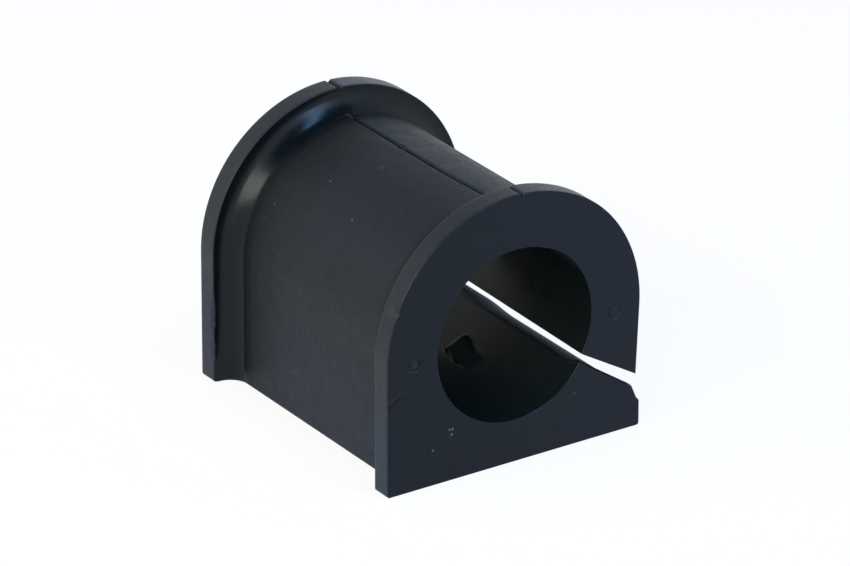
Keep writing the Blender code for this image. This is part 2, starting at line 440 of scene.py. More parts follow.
def crown_relief(flat, y, share):
    """How far the outside drops at the seam and to the right of it."""
    if flat.y < AXIS_HEIGHT:
        return 0
    x = flat.x - SEAM_X - SEAM_DRIFT * smooth(-y, *SEAM_DRIFT_RANGE)
    drop = 0
    if share > MISMATCH_FROM:
        lowered = smooth(x, 0, MISMATCH_RISE) * (1 - smooth(x, *MISMATCH_FADE))
        drop += SEAM_MISMATCH * lowered * smooth(share, MISMATCH_FROM, 1)
    if abs(x) < SEAM_REACH and (share < ON_FLANGE or share > ON_BODY):
        ragged = sum(wander(y, *run) for run in SEAM_RAGGED)
        centre = wander(y, *SEAM_WANDER)
        notch = hump(y - SEAM_NOTCH_Y, SEAM_NOTCH_LENGTH)
        depth = SEAM_DEPTH * (1 + ragged) + SEAM_NOTCH_GROWTH * notch
        width = SEAM_WIDTH + SEAM_NOTCH_GROWTH * notch
        drop += depth * hump(x - centre, width)
    return drop


def edge_damage(flat, y, share):
    """How far the flanges' edges are pushed in: the near edge's nick and the far edge's dents."""
    if share > ON_FLANGE or flat.x > 0:
        return 0
    turn = atan2(flat.y - AXIS_HEIGHT, flat.x)
    push = 0
    if y < NEAR_END + 2 * RIM_RADIUS and turn > 0:
        push += NICK_DEPTH * hump((turn - NICK_ANGLE) * ARCH_RADIUS, NICK_SIZE)
    past_inner_edge = y - (LENGTH / 2 - FLANGE_THICKNESS)
    if past_inner_edge > -SLACK and flat.y < AXIS_HEIGHT:
        inner = 1 - smooth(past_inner_edge, 0, RIM_DENT_REACH)
        for height, reach, depth in RIM_DENTS:
            push += depth * inner * hump(flat.y - height, reach)
    return push


def face_relief(x, z):
    """How far the near face sinks: the two round marks and the scratch."""
    sink = 0
    for mark_x, mark_z in MARKS:
        away = hypot(x - mark_x, z - mark_z)
        if away < 2 * MARK_RADIUS:
            sink += MARK_DEPTH * hump(away - MARK_RADIUS, MARK_RING_WIDTH)
    along = SCRATCH[1] - SCRATCH[0]
    place = Vector((x, z)) - SCRATCH[0]
    share = place.dot(along) / along.length_squared
    off = (place - along * share).dot(Vector((-along.y, along.x)).normalized())
    ends = smooth(share, *SCRATCH_START) * (1 - smooth(share, *SCRATCH_END))
    return sink + SCRATCH_DEPTH * ends * hump(off, SCRATCH_GENTLE if off > 0 else SCRATCH_STEEP)


def tooth_height(angle, y):
    """How far the tooth stands off the bore's wall."""
    if y > TOOTH_BACK:
        rise = 1 - smooth(y, TOOTH_BACK, TOOTH_BACK + TOOTH_WALL)
    else:
        rise = 1 - max(0, TOOTH_FRONT - y) / TOOTH_SLOPE
    if rise <= 0:
        return 0
    left = TOOTH_LEFT + TOOTH_LEFT_DRIFT * smooth(-y, *TOOTH_LEFT_DRIFT_RANGE)
    right = TOOTH_RIGHT + TOOTH_RIGHT_DRIFT * smooth(-y, *TOOTH_RIGHT_DRIFT_RANGE)
    wall = TOOTH_WALL / BORE_RADIUS
    half_wall = TOOTH_RIGHT_WALL / BORE_RADIUS / 2
    sides = smooth(angle, left - wall, left) * (1 - smooth(angle, right - half_wall, right + half_wall))
    return TOOTH_HEIGHT * rise * sides


def groove_depth(off, y):
    """Depth of the fine groove, at a distance off the lower slit face's corner."""
    ragged = 1 + wander(y, *GROOVE_RAGGED)
    return GROOVE_DEPTH * smooth(y, *DEEPER_NEAR_BLEND) * ragged * hump(off - GROOVE_PLACE, GROOVE_WIDTH)


# Mesh

def outer_grid(mesh, flange, body, normals, profile):
    """The outside: a column of vertices along the block for each station round it."""
    grid = []
    for i, normal in enumerate(normals):
        column = []
        for y, share, inset in profile:
            flat = flange[i].lerp(body[i], share) - normal * inset
            if flat.x > 0 and below_slit(flat.x, flat.y):
                flat.y -= deeper(flat.x, y) * max(0, flat.y / slit_height(flat.x, -1))
            spoke = (flat - AXIS).normalized()
            flat = flat - spoke * crown_relief(flat, y, share) - normal * edge_damage(flat, y, share)
            column.append(mesh.verts.new((flat.x, y, flat.y)))
        grid.append(column)
    return grid


def bore_grid(mesh, angles, profile):
    """The bore's wall. Its stations past the tooth follow the lower slit face as that drops."""
    grid = []
    last = angles[-1]
    moving = TOOTH_RIGHT + 2 * pi + FOLLOW_AFTER
    for i, angle in enumerate(angles):
        column = []
        for y, grown in profile:
            radius = BORE_RADIUS + grown
            corner = slit_point(radius, -1, deeper(0, y)) - AXIS
            end = atan2(corner.y, corner.x) + 2 * pi
            if i == 0:
                flat = slit_point(radius, 1)
            elif i == len(angles) - 1:
                flat = AXIS + corner
            else:
                turn = angle
                if angle > moving:
                    turn = moving + (angle - moving) * (end - moving) / (last - moving)
                radius -= tooth_height(turn - 2 * pi, y)
                if not grown:
                    radius += groove_depth((end - turn) * BORE_RADIUS, y)
                flat = AXIS + Vector((cos(turn), sin(turn))) * radius
            column.append(mesh.verts.new((flat.x, y, flat.y)))
        grid.append(column)
    return grid


def skin(mesh, grid):
    for a, b in zip(grid, grid[1:]):
        for k in range(len(a) - 1):
            mesh.faces.new((a[k], a[k + 1], b[k + 1], b[k]))


def inside(u, v, loop):
    """Whether a point lies inside a closed loop of points."""
    hit = False
    for a, b in zip(loop, loop[1:] + loop[:1]):
        if (a.y > v) != (b.y > v) and u < a.x + (v - a.y) / (b.y - a.y) * (b.x - a.x):
            hit = not hit
    return hit


def even_points(loop, low, high, step):
    """A staggered grid of points inside a loop, none of them close to its points."""
    points = []
    for i in range(round((high[0] - low[0]) / step) + 1):
        for k in range(round((high[1] - low[1]) / step) + 1):
            u = low[0] + (i + 0.5 * (k % 2)) * step
            v = low[1] + k * step
            clear = min((u - e.x) ** 2 + (v - e.y) ** 2 for e in loop) > (CLEARANCE_SHARE * step) ** 2
            if clear and inside(u, v, loop):
                points.append(Vector((u, v)))
    return points


def detail_points():
    """Rings of points round each mark, and rows along the scratch."""
    points = []
    for place in MARKS:
        points.append(Vector(place))
        for ring in range(1, MARK_RINGS + 1):
            for k in range(MARK_RING_POINTS):
                turn = k / MARK_RING_POINTS * 2 * pi
                spoke = Vector((cos(turn), sin(turn)))
                points.append(Vector(place) + spoke * ring * MARK_RING_STEP * MARK_RADIUS)
    along = SCRATCH[1] - SCRATCH[0]
    across = Vector((-along.y, along.x)).normalized() * SCRATCH_STEEP
    for k in range(1, SCRATCH_STEPS + 1):
        points += [SCRATCH[0] + along * k / SCRATCH_STEPS + across * row for row in SCRATCH_ROWS]
    return points


def fill(mesh, boundary, points, flat, solid):
    """Fill a loop of vertices with triangles: flat gives a vertex's place in 2D, solid a 2D place's point."""
    loop = [flat(v.co) for v in boundary]
    places = [p * MM_PER_METRE for p in loop + points]
    inner_triangles, epsilon = 1, 1e-5
    found = delaunay_2d_cdt(places, [], [list(range(len(loop)))], inner_triangles, epsilon)
    verts = []
    for place, sources in zip(found[0], found[3]):
        known = [s for s in sources if s < len(loop)]
        if known:
            verts.append(boundary[known[0]])
        else:
            verts.append(mesh.verts.new(solid(place.x / MM_PER_METRE, place.y / MM_PER_METRE)))
    for corners in found[2]:
        mesh.faces.new([verts[c] for c in corners])


def end_face(mesh, boundary, relief, details):
    """Fill an end face. Its relief goes inwards at the near end."""
    y = boundary[0].co.y
    loop = [Vector((v.co.x, v.co.z)) for v in boundary]
    points = even_points(loop, (-ARCH_RADIUS, 0), (ARCH_RADIUS, 2 * ARCH_RADIUS), FACE_STEP)
    if details:
        points = [p for p in points if min((p - d).length for d in details) > DETAIL_CLEARANCE]
        points += [d for d in details if inside(d.x, d.y, loop)]
    fill(mesh, boundary, points, lambda co: Vector((co.x, co.z)), lambda x, z: (x, y + relief(x, z), z))


def slit_face(mesh, outer, bore, side):
    """Fill one face of the slit, between an edge of the outside and an edge of the bore."""
    boundary = outer + bore[::-1]
    loop = [Vector((v.co.x, v.co.y)) for v in boundary]
    low, high = (BORE_RADIUS / 2, FACE_STEP + NEAR_END), (ARCH_RADIUS, LENGTH / 2)
    points = even_points(loop, low, high, FACE_STEP)
    rows = [Vector((x * MM / 2, NEAR_END + row * MM / 10)) for row in SLIT_EDGE_ROWS for x in SLIT_EDGE_PLACES]
    points += [p for p in rows if inside(p.x, p.y, loop)]

    def solid(x, y):
        return (x, y, slit_height(x, side) - (deeper(x, y) if side < 0 else 0))

    fill(mesh, boundary, points, lambda co: Vector((co.x, co.y)), solid)


# Slots of the block's materials: the moulded rubber has the first one
CUT, GLOSSY = 1, 2

# The glossy fillets: where they start and end along the block, from its middle, and how far out they lie
GLOSSY_END = LENGTH / 2 - FLANGE_THICKNESS + 0.02 * MM
GLOSSY_START = GLOSSY_END - FILLET_RADIUS - 0.1 * MM
OUTSIDE_FROM = 17 * MM


def make_block():
    mesh = bmesh.new()
    flange, body, normals = outer_outline()
    outer = outer_grid(mesh, flange, body, normals, outer_profile())
    bore = bore_grid(mesh, bore_angles(), bore_profile())
    skin(mesh, outer)
    skin(mesh, bore)
    near_loop = [column[0] for column in outer] + [column[0] for column in bore]
    far_loop = [column[-1] for column in outer] + [column[-1] for column in bore]
    end_face(mesh, near_loop, face_relief, detail_points())
    end_face(mesh, far_loop, lambda x, z: 0, [])
    moulded = len(mesh.faces)
    slit_face(mesh, outer[0], bore[-1], -1)
    slit_face(mesh, outer[-1], bore[0], 1)
    mesh.faces.ensure_lookup_table()
    for face in mesh.faces[moulded:]:
        face.material_index = CUT
    for face in mesh.faces[:moulded]:
        middle = face.calc_center_median()
        outside = hypot(middle.x, middle.z - AXIS_HEIGHT) > OUTSIDE_FROM
        if outside and GLOSSY_START < abs(middle.y) < GLOSSY_END and middle.z > ABOVE_BASE:
            face.material_index = GLOSSY
    for vertex in mesh.verts:
        place = sprung(vertex.co)
        vertex.co = [min(max(v, low), high) for v, low, high in zip(place, NODE_LOW, NODE_HIGH)]
    bmesh.ops.recalc_face_normals(mesh, faces=mesh.faces)
    data = bpy.data.meshes.new("rubber_block")
    mesh.to_mesh(data)
    mesh.free()
    data.shade_smooth()
    data.set_sharp_from_angle(angle=SMOOTH_BELOW)
    block = bpy.data.objects.new("rubber_block", data)
    bpy.context.scene.collection.objects.link(block)
    return block


# Finish, with light and shade painted into some tints. A range or an edge blends a tint in or out, over a height,
# a distance or a noise's value.

RUBBER_IOR = 1.45
NOISE_MIDDLE = (0.3, 0.7)
NOISE_MOST = (0.25, 0.75)

# The body is mottled from one colour to another. It is bluer and paler low down, which is painted bluish light, and
# darker towards the far end, which is painted shade.
BODY_COLOURS = ((0.0050, 0.0078, 0.0112), (0.0094, 0.0126, 0.0172))
BODY_COARSE_NOISE = (170, 3)
BODY_FINE_NOISE = (2400, 2)
PAINTED_LOW_LIGHT_COLOUR = (0.0078, 0.0122, 0.0245)
LOW_LIGHT_RANGE = (4 * MM, 22 * MM)
LOW_LIGHT_SHARE = 0.6
PAINTED_FAR_SHADE_COLOUR = (0.0030, 0.0046, 0.0056)
FAR_SHADE_RANGE = (3 * MM, 19 * MM)
FAR_SHADE_SHARE = 0.75

# Sparse pale grains all over
SPRINKLE_COLOUR = (0.040, 0.044, 0.048)
SPRINKLE_NOISE = (1500, 0)
SPRINKLE_RANGE = (0.80, 0.85)
SPRINKLE_SHARE = 0.4

# The bore, from its near part to its far one: painted light and shade, dark at the near end and paler deeper in,
# where light falls in through the far opening
BORE_PAINTED_LIGHT_COLOURS = ((0.0040, 0.0068, 0.0066), (0.0115, 0.0215, 0.0250))
BORE_LIGHT_RANGE = (-2 * MM, 14 * MM)

# The outside right of the seam, with a painted bluish sheen
RIGHT_PAINTED_SHEEN_COLOUR = (0.0045, 0.0130, 0.0210)
RIGHT_SHEEN_SHARE = 0.8
RIGHT_RANGE = (SEAM_X, SEAM_X + 1 * MM)
RIGHT_HEIGHTS = (30 * MM, 38 * MM)

# The end faces, from left to right, in darker and bluer painted shade
END_PAINTED_SHADE_COLOURS = ((0.0018, 0.0048, 0.0092), (0.0034, 0.0064, 0.0120))
END_SHADE_RANGE = (-20 * MM, 25 * MM)

# The flanges' rims: a painted sheen, paler than the body, less so high up on the near one, and a painted highlight at
# their upper right, where they are palest
RIM_SHEEN_COLOURS = ((0.013, 0.020, 0.032), (0.020, 0.0225, 0.0245))
RIM_SHEEN_RANGE = (12 * MM, 26 * MM)
RIM_SHEEN_FADE_RANGE = (4 * MM, 26 * MM)
RIM_SHEEN_SHARES = (0.8, 0.35)
RIM_OUT_FROM = 19 * MM
RIM_TOP_HIGHLIGHT_COLOUR = (0.040, 0.049, 0.066)
RIM_TOP_HEIGHTS = (42 * MM, 46.5 * MM)
RIM_TOP_RANGE = (0.5 * MM, 1.5 * MM)

# A band of painted shade on the body, beside each fillet
FILLET_SIDE_SHADE_COLOUR = (0.001, 0.002, 0.003)
FILLET_SIDE_SHADE_SHARE = 0.6
FILLET_SIDE_SHADE_START = LENGTH / 2 - FLANGE_THICKNESS - FILLET_RADIUS - 1.7 * MM

# Painted shade in the seam's groove
GROOVE_SHADE_COLOUR = (0.001, 0.001, 0.002)
SEAM_SHADE_SHARE = 0.85
SEAM_SHADE_RANGE = (0.20 * MM, 0.36 * MM)
SEAM_HEIGHTS = (40 * MM, 41 * MM)

# Painted shade in the marks' sunk rings, the left mark's pale middle, and the discs that have sunk. Edges are shares
# of the radius.
MARK_SHADE_EDGES = ((0.35, 0.8), (1.0, 1.35))
MARK_SHADE_NOISE = (900, 2)
MARK_SHADE_RANGE = (0.35, 0.65)
MARK_SHADE_SHARES = (0.2, 0.9)
MARK_MIDDLE_COLOUR = (0.026, 0.030, 0.032)
MARK_MIDDLE_SHARE = 0.3
MARK_MIDDLE_EDGE = (0.3, 0.7)
MARK_DISC_EDGE = (1.6, 1.7)

# The tooth's slope, tinted with painted shading, and its crest, with a painted glint. The slope fades in from before
# its foot to past it, and sides blend over an angle.
TOOTH_SLOPE_SHADE_COLOUR = (0.0120, 0.0165, 0.0155)
TOOTH_FADE = (2 * MM, 3 * MM)
CREST_GLINT_COLOUR = (0.15, 0.17, 0.175)
TURN_EDGE = 0.01

# The scratch's dark line, which is painted shade, and the strip that has sunk with it. Ends are shares of the
# scratch's length, and the line's side is in shares of its gentle slope.
SCRATCH_SHADE_COLOUR = (0.0004, 0.0010, 0.0016)
SCRATCH_SHADE_SHARE = 0.9
LINE_SIDE = (0.4, 1)
LINE_ENDS = ((-0.2, 0.1), (0.8, 1.15))
STRIP_SIDE = (1.0 * MM, 1.1 * MM)
STRIP_ENDS = ((-0.3, -0.29), (1.3, 1.31))

# Pale specks of dust: place and radius in millimetres. Their edge is in shares of the radius.
SPECK_EDGE = (0.5, 1)
SPECKS = (
    ((-12.9, -28.2, 9.3), 0.32), ((-12.3, -28.2, 9.25), 0.32), ((-12.5, -28.2, 8.3), 0.34),
    ((-16.2, -28.2, 6.4), 0.28), ((11.85, -28.2, 9.25), 0.2),
    ((-6.08, 2.11, 42.95), 0.24), ((-12.22, 8.05, 39.91), 0.22), ((-14.93, -2.56, 37.6), 0.26),
    ((-20.95, 6.08, 8.06), 0.22), ((-17.75, 16.51, 34.02), 0.2),
)
DUST_COLOUR = (0.062, 0.070, 0.074)

# Scuffed patch on the near rim, behind the nick
SCUFF_PLACE = Vector((-23.2, -26.4, 32.4)) * MM
SCUFF_RADIUS = 1.3 * MM
SCUFF_EDGE = 0.8 * MM
SCUFF_RAGGED = 1.6 * MM
SCUFF_NOISE = (1500, 3)
SCUFF_COLOUR = (0.035, 0.036, 0.040)
SCUFF_SHARE = 0.3

# Roughness of the moulded rubber: two noises, and what rims and bore have less and dust and seam have more
MATT_NOISE = (420, 3)
MATT = (0.47, 0.54)
MATT_FINE_NOISE = (1500, 2)
MATT_FINE = (-0.035, 0.035)
RIM_LESS = 0.12
BORE_LESS = 0.20
DUST_AND_SEAM_MORE = 0.3
MOULDED_SPECULAR = 0.2

# Grain of the moulded rubber
GRAIN_NOISE = (3800, 3)
WAVES_NOISE = (700, 2)
WAVES_SHARE = 0.3

# The fillets, rougher right of the seam. Their gloss is their own, and their darker colour is painted shade.
GLOSSY_SHADE_COLOURS = ((0.0008, 0.0026, 0.0038), (0.0018, 0.0042, 0.0058))
GLOSSY_COLOUR_NOISE = (300, 3)
GLOSSY_ROUGHNESS = (0.20, 0.26)
GLOSSY_ROUGHNESS_NOISE = (900, 4)
GLOSSY_RIGHT_RANGE = (SEAM_X, SEAM_X + 3 * MM)
GLOSSY_RIGHT_MORE = 0.3
GLOSSY_GRAIN_NOISE = (1600, 3)
GLOSSY_SPECULAR = 0.25

# The slit's faces: their pale grey is a painted reflection, and their dark near edge is painted shade
CUT_REFLECTION_COLOURS = ((0.095, 0.102, 0.110), (0.160, 0.168, 0.178))
CUT_COLOUR_NOISE = (400, 4)
CUT_EDGE_SHADE_COLOUR = (0.006, 0.008, 0.012)
CUT_EDGE_SHADE_RANGE = (-27.9 * MM, -26 * MM)
CUT_GRAIN_NOISE = (2600, 3)
CUT_ROUGHNESS = 0.95
CUT_SPECULAR = 0.05


class Graph:
    """Short calls for building a node tree."""

    def __init__(self, tree):
        self.nodes = tree.nodes
        self.links = tree.links

    def math(self, operation, a, b=None, clamp=False):
        node = self.nodes.new("ShaderNodeMath")
        node.operation = operation
        node.use_clamp = clamp
        for socket, value in zip(node.inputs, (a, b)):
            if value is None:
                continue
            if isinstance(value, (int, float)):
                socket.default_value = value
            else:
                self.links.new(value, socket)
        return node.outputs[0]

    def all_of(self, first, *others):
        """The product of values: where every mask holds."""
        for other in others:
            first = self.math("MULTIPLY", first, other)
        return first

    def any_of(self, first, *others):
        """The largest of values: where at least one mask holds."""
        for other in others:
            first = self.math("MAXIMUM", first, other)
        return first

    def band(self, value, low, high, start, end):
        """Map a value from low..high to start..end, held beyond them."""
        node = self.nodes.new("ShaderNodeMapRange")
        node.interpolation_type = "SMOOTHSTEP"
        self.links.new(value, node.inputs["Value"])
        for name, number in (("From Min", low), ("From Max", high), ("To Min", start), ("To Max", end)):
            node.inputs[name].default_value = number
        return node.outputs["Result"]

    def rise(self, value, edge):
        """0 before an edge and 1 past it. An edge is where the blend starts and ends."""
        return self.band(value, *edge, 0, 1)

    def fall(self, value, edge):
        """1 before an edge and 0 past it."""
        return self.band(value, *edge, 1, 0)

    def between(self, value, first, last):
        """1 between two edges."""
        return self.all_of(self.rise(value, first), self.fall(value, last))

    def noise(self, place, scale, detail):
        node = self.nodes.new("ShaderNodeTexNoise")
        node.inputs["Scale"].default_value = scale
        node.inputs["Detail"].default_value = detail
        self.links.new(place, node.inputs["Vector"])
        return node.outputs["Fac"]

    def distance(self, place, point):
        node = self.nodes.new("ShaderNodeVectorMath")
        node.operation = "DISTANCE"
        self.links.new(place, node.inputs[0])
        node.inputs[1].default_value = point
        return node.outputs["Value"]

    def mix(self, share, first, second):
        node = self.nodes.new("ShaderNodeMix")
        node.data_type = "RGBA"
        self.links.new(share, node.inputs[0])
        for socket, value in ((node.inputs[6], first), (node.inputs[7], second)):
            if isinstance(value, tuple):
                socket.default_value = (*value, 1)
            else:
                self.links.new(value, socket)
        return node.outputs[2]

    def coordinates(self, kind):
        return self.nodes.new("ShaderNodeTexCoord").outputs[kind]

    def parts(self, place):
        """X, Y and Z of a place or direction."""
        node = self.nodes.new("ShaderNodeSeparateXYZ")
        self.links.new(place, node.inputs[0])
        return node.outputs

    def surface(self, colour, roughness, height, strength, distance):
        """Set the shader's colour, its roughness, and its bump from a height."""
        shader = self.nodes["Principled BSDF"]
        bump = self.nodes.new("ShaderNodeBump")
        bump.inputs["Strength"].default_value = strength
        bump.inputs["Distance"].default_value = distance
        self.links.new(height, bump.inputs["Height"])
        self.links.new(bump.outputs["Normal"], shader.inputs["Normal"])
        self.links.new(colour, shader.inputs["Base Color"])
        if isinstance(roughness, float):
            shader.inputs["Roughness"].default_value = roughness
        else:
            self.links.new(roughness, shader.inputs["Roughness"])
        return shader


def new_material(name):
    material = bpy.data.materials.new(name)
    material.use_nodes = True
    return material, Graph(material.node_tree)


# Masks of the moulded rubber

def scaled(edge, size):
    return [share * size for share in edge]


def dust_mask(graph, place):
    spots = []
    for point, radius in SPECKS:
        away = graph.distance(place, Vector(point) * MM)
        spots.append(graph.fall(away, scaled(SPECK_EDGE, radius * MM)))
    return graph.any_of(*spots)


def scuff_mask(graph, place):
    ragged = graph.math("MULTIPLY", graph.noise(place, *SCUFF_NOISE), SCUFF_RAGGED)
    away = graph.math("ADD", graph.distance(place, SCUFF_PLACE), ragged)
    return graph.fall(away, (SCUFF_RADIUS, SCUFF_RADIUS + SCUFF_EDGE))


# Where the seam's groove is darkened with painted shade
def seam_mask(graph, x, y, z):
    near, far = SEAM_DRIFT_RANGE
    seam_x = graph.band(y, -far, -near, SEAM_X + SEAM_DRIFT, SEAM_X)
    off = graph.math("ABSOLUTE", graph.math("SUBTRACT", x, seam_x))
    return graph.all_of(graph.fall(off, SEAM_SHADE_RANGE), graph.rise(z, SEAM_HEIGHTS))


def mark_masks(graph, place):
    """The painted shade in the marks' sunk rings, the left mark's pale middle, and the discs where the face has sunk.
    """
    ring_edges = [scaled(edge, MARK_RADIUS) for edge in MARK_SHADE_EDGES]
    distances = [graph.distance(place, (x, NEAR_END, z)) for x, z in MARKS]
    rings = graph.any_of(*(graph.between(away, *ring_edges) for away in distances))
    discs = graph.any_of(*(graph.fall(away, scaled(MARK_DISC_EDGE, MARK_RADIUS)) for away in distances))
    patchy = graph.band(graph.noise(place, *MARK_SHADE_NOISE), *MARK_SHADE_RANGE, *MARK_SHADE_SHARES)
    middle = graph.band(distances[0], *scaled(MARK_MIDDLE_EDGE, MARK_RADIUS), MARK_MIDDLE_SHARE, 0)
    return graph.all_of(rings, patchy), middle, discs


def scratch_masks(graph, x, z):
    """The scratch's dark line of painted shade, and the strip where the face has sunk."""
    reach = (SCRATCH[1] - SCRATCH[0]).length
    heading = (SCRATCH[1] - SCRATCH[0]).normalized()
    from_x = graph.math("SUBTRACT", x, SCRATCH[0].x)
    from_z = graph.math("SUBTRACT", z, SCRATCH[0].y)
    way = graph.math("ADD", graph.all_of(from_x, heading.x), graph.all_of(from_z, heading.y))
    off = graph.math("SUBTRACT", graph.all_of(from_z, heading.x), graph.all_of(from_x, heading.y))
    off = graph.math("ABSOLUTE", off)
    line_ends, strip_ends = ([scaled(edge, reach) for edge in ends] for ends in (LINE_ENDS, STRIP_ENDS))
    line = graph.all_of(graph.fall(off, scaled(LINE_SIDE, SCRATCH_GENTLE)), graph.between(way, *line_ends))
    strip = graph.all_of(graph.fall(off, STRIP_SIDE), graph.between(way, *strip_ends))
    return line, strip


def tooth_masks(graph, turn, y):
    """The tooth's slope, which takes painted shading, and its crest, which takes a painted glint."""
    left = TOOTH_LEFT + TOOTH_LEFT_DRIFT
    toe = TOOTH_BACK - TOOTH_SLOPE
    slope = graph.all_of(
        graph.rise(turn, (left - 3 * TURN_EDGE, left - TURN_EDGE)),
        graph.fall(turn, (TOOTH_RIGHT - TURN_EDGE, TOOTH_RIGHT + TURN_EDGE)),
        graph.between(y, (toe - TOOTH_FADE[0], toe + TOOTH_FADE[1]), (TOOTH_FRONT, TOOTH_FRONT + 0.1 * MM)),
    )
    crest = graph.all_of(
        graph.rise(turn, (TOOTH_LEFT - TURN_EDGE, TOOTH_LEFT + TURN_EDGE)),
        graph.fall(turn, (TOOTH_RIGHT - 2 * TURN_EDGE, TOOTH_RIGHT)),
        graph.between(y, (TOOTH_FRONT - 0.1 * MM, TOOTH_FRONT), (TOOTH_BACK, TOOTH_BACK + 0.15 * MM)),
    )
    return slope, crest


def moulded_rubber():
    """Black moulded rubber: a fine matt grain, with dust and a scuff, and light and shade painted into its colour."""
    material, graph = new_material("moulded_rubber")
    place = graph.coordinates("Object")
    x, y, z = graph.parts(place)
    height = graph.math("SUBTRACT", z, AXIS_HEIGHT)
    turn = graph.math("ARCTAN2", height, x)
    spread = graph.math("SQRT", graph.math("ADD", graph.all_of(x, x), graph.all_of(height, height)))
    along = graph.math("ABSOLUTE", y)

    fillet_side_shade = graph.all_of(
        graph.between(along, (FILLET_SIDE_SHADE_START, FILLET_SIDE_SHADE_START + 0.15 * MM), (GLOSSY_START, GLOSSY_START + 0.2 * MM)),
        graph.rise(spread, (OUTSIDE_FROM, OUTSIDE_FROM + 0.1 * MM)),
    )
    rim = graph.all_of(
        graph.between(along, (GLOSSY_END, GLOSSY_END + 0.1 * MM), (LENGTH / 2 - 0.15 * MM, LENGTH / 2)),
        graph.rise(spread, (RIM_OUT_FROM, RIM_OUT_FROM + 0.1 * MM)),
    )
    bore = graph.all_of(
        graph.fall(spread, (BORE_RADIUS + 0.05 * MM, BORE_RADIUS + 0.15 * MM)),
        graph.fall(along, (LENGTH / 2 - 0.1 * MM, LENGTH / 2)),
    )
    rings, middle, discs = mark_masks(graph, place)
    scratch, strip = scratch_masks(graph, x, z)
    sunk = graph.all_of(
        graph.any_of(discs, strip),
        graph.fall(y, (NEAR_END + 0.4 * MM, NEAR_END + 0.5 * MM)),
        graph.rise(x, (-ARCH_RADIUS + 0.05 * MM, -ARCH_RADIUS + 0.15 * MM)),
    )
    end = graph.any_of(graph.rise(along, (LENGTH / 2 - 0.12 * MM, LENGTH / 2 - 0.02 * MM)), sunk)
    seam = graph.all_of(seam_mask(graph, x, y, z), graph.math("SUBTRACT", 1, end))
    slope, crest = tooth_masks(graph, turn, y)
    dust = dust_mask(graph, place)

    coarse = graph.noise(place, *BODY_COARSE_NOISE)
    fine = graph.rise(graph.noise(place, *BODY_FINE_NOISE), NOISE_MIDDLE)
    mottle = graph.math("ADD", graph.all_of(coarse, 0.5), graph.all_of(fine, 0.5))
    pale = graph.any_of(
        graph.band(z, *RIM_SHEEN_FADE_RANGE, *RIM_SHEEN_SHARES),
        graph.band(y, 0, 1 * MM, 0, RIM_SHEEN_SHARES[0]),
    )
    rim_top_highlight = graph.all_of(graph.rise(z, RIM_TOP_HEIGHTS), graph.rise(x, RIM_TOP_RANGE))
    rim_sheen_colour = graph.mix(graph.rise(z, RIM_SHEEN_RANGE), *RIM_SHEEN_COLOURS)
    # Every layer here paints light and shade except the sprinkle, the mark's middle, the scuff and the dust.
    layers = (
        (graph.band(z, *LOW_LIGHT_RANGE, LOW_LIGHT_SHARE, 0), PAINTED_LOW_LIGHT_COLOUR),
        (graph.band(y, *FAR_SHADE_RANGE, 0, FAR_SHADE_SHARE), PAINTED_FAR_SHADE_COLOUR),
        (graph.band(graph.noise(place, *SPRINKLE_NOISE), *SPRINKLE_RANGE, 0, SPRINKLE_SHARE), SPRINKLE_COLOUR),
        (bore, graph.mix(graph.rise(y, BORE_LIGHT_RANGE), *BORE_PAINTED_LIGHT_COLOURS)),
        (graph.all_of(graph.band(x, *RIGHT_RANGE, 0, RIGHT_SHEEN_SHARE), graph.rise(z, RIGHT_HEIGHTS)), RIGHT_PAINTED_SHEEN_COLOUR),
        (end, graph.mix(graph.rise(x, END_SHADE_RANGE), *END_PAINTED_SHADE_COLOURS)),
        (graph.all_of(rim, pale), graph.mix(rim_top_highlight, rim_sheen_colour, RIM_TOP_HIGHLIGHT_COLOUR)),
        (graph.all_of(fillet_side_shade, FILLET_SIDE_SHADE_SHARE), FILLET_SIDE_SHADE_COLOUR),
        (graph.all_of(seam, SEAM_SHADE_SHARE), GROOVE_SHADE_COLOUR),
        (graph.all_of(slope, bore), TOOTH_SLOPE_SHADE_COLOUR),
        (graph.all_of(crest, bore), CREST_GLINT_COLOUR),
        (rings, GROOVE_SHADE_COLOUR),
        (middle, MARK_MIDDLE_COLOUR),
        (graph.all_of(scratch, end, SCRATCH_SHADE_SHARE), SCRATCH_SHADE_COLOUR),
        (graph.all_of(scuff_mask(graph, place), SCUFF_SHARE), SCUFF_COLOUR),
        (dust, DUST_COLOUR),
    )
    colour = graph.mix(mottle, *BODY_COLOURS)
    for mask, tint in layers:
        colour = graph.mix(mask, colour, tint)

    outer = graph.math("SUBTRACT", 1, bore)
    matt = graph.band(graph.noise(place, *MATT_NOISE), *NOISE_MOST, *MATT)
    fine = graph.band(graph.noise(place, *MATT_FINE_NOISE), *NOISE_MIDDLE, *MATT_FINE)
    matt = graph.math("ADD", matt, graph.all_of(fine, outer))
    matt = graph.math("SUBTRACT", matt, graph.all_of(rim, RIM_LESS))
    matt = graph.math("SUBTRACT", matt, graph.all_of(bore, BORE_LESS))
    roughness = graph.math("ADD", matt, graph.all_of(graph.any_of(dust, seam), DUST_AND_SEAM_MORE), True)

    waves = graph.all_of(graph.noise(place, *WAVES_NOISE), WAVES_SHARE)
    relief = graph.all_of(graph.math("ADD", graph.noise(place, *GRAIN_NOISE), waves), outer)
    shader = graph.surface(colour, roughness, relief, strength=0.25, distance=0.04 * MM)
    shader.inputs["IOR"].default_value = RUBBER_IOR
    shader.inputs["Specular IOR Level"].default_value = MOULDED_SPECULAR
    return material


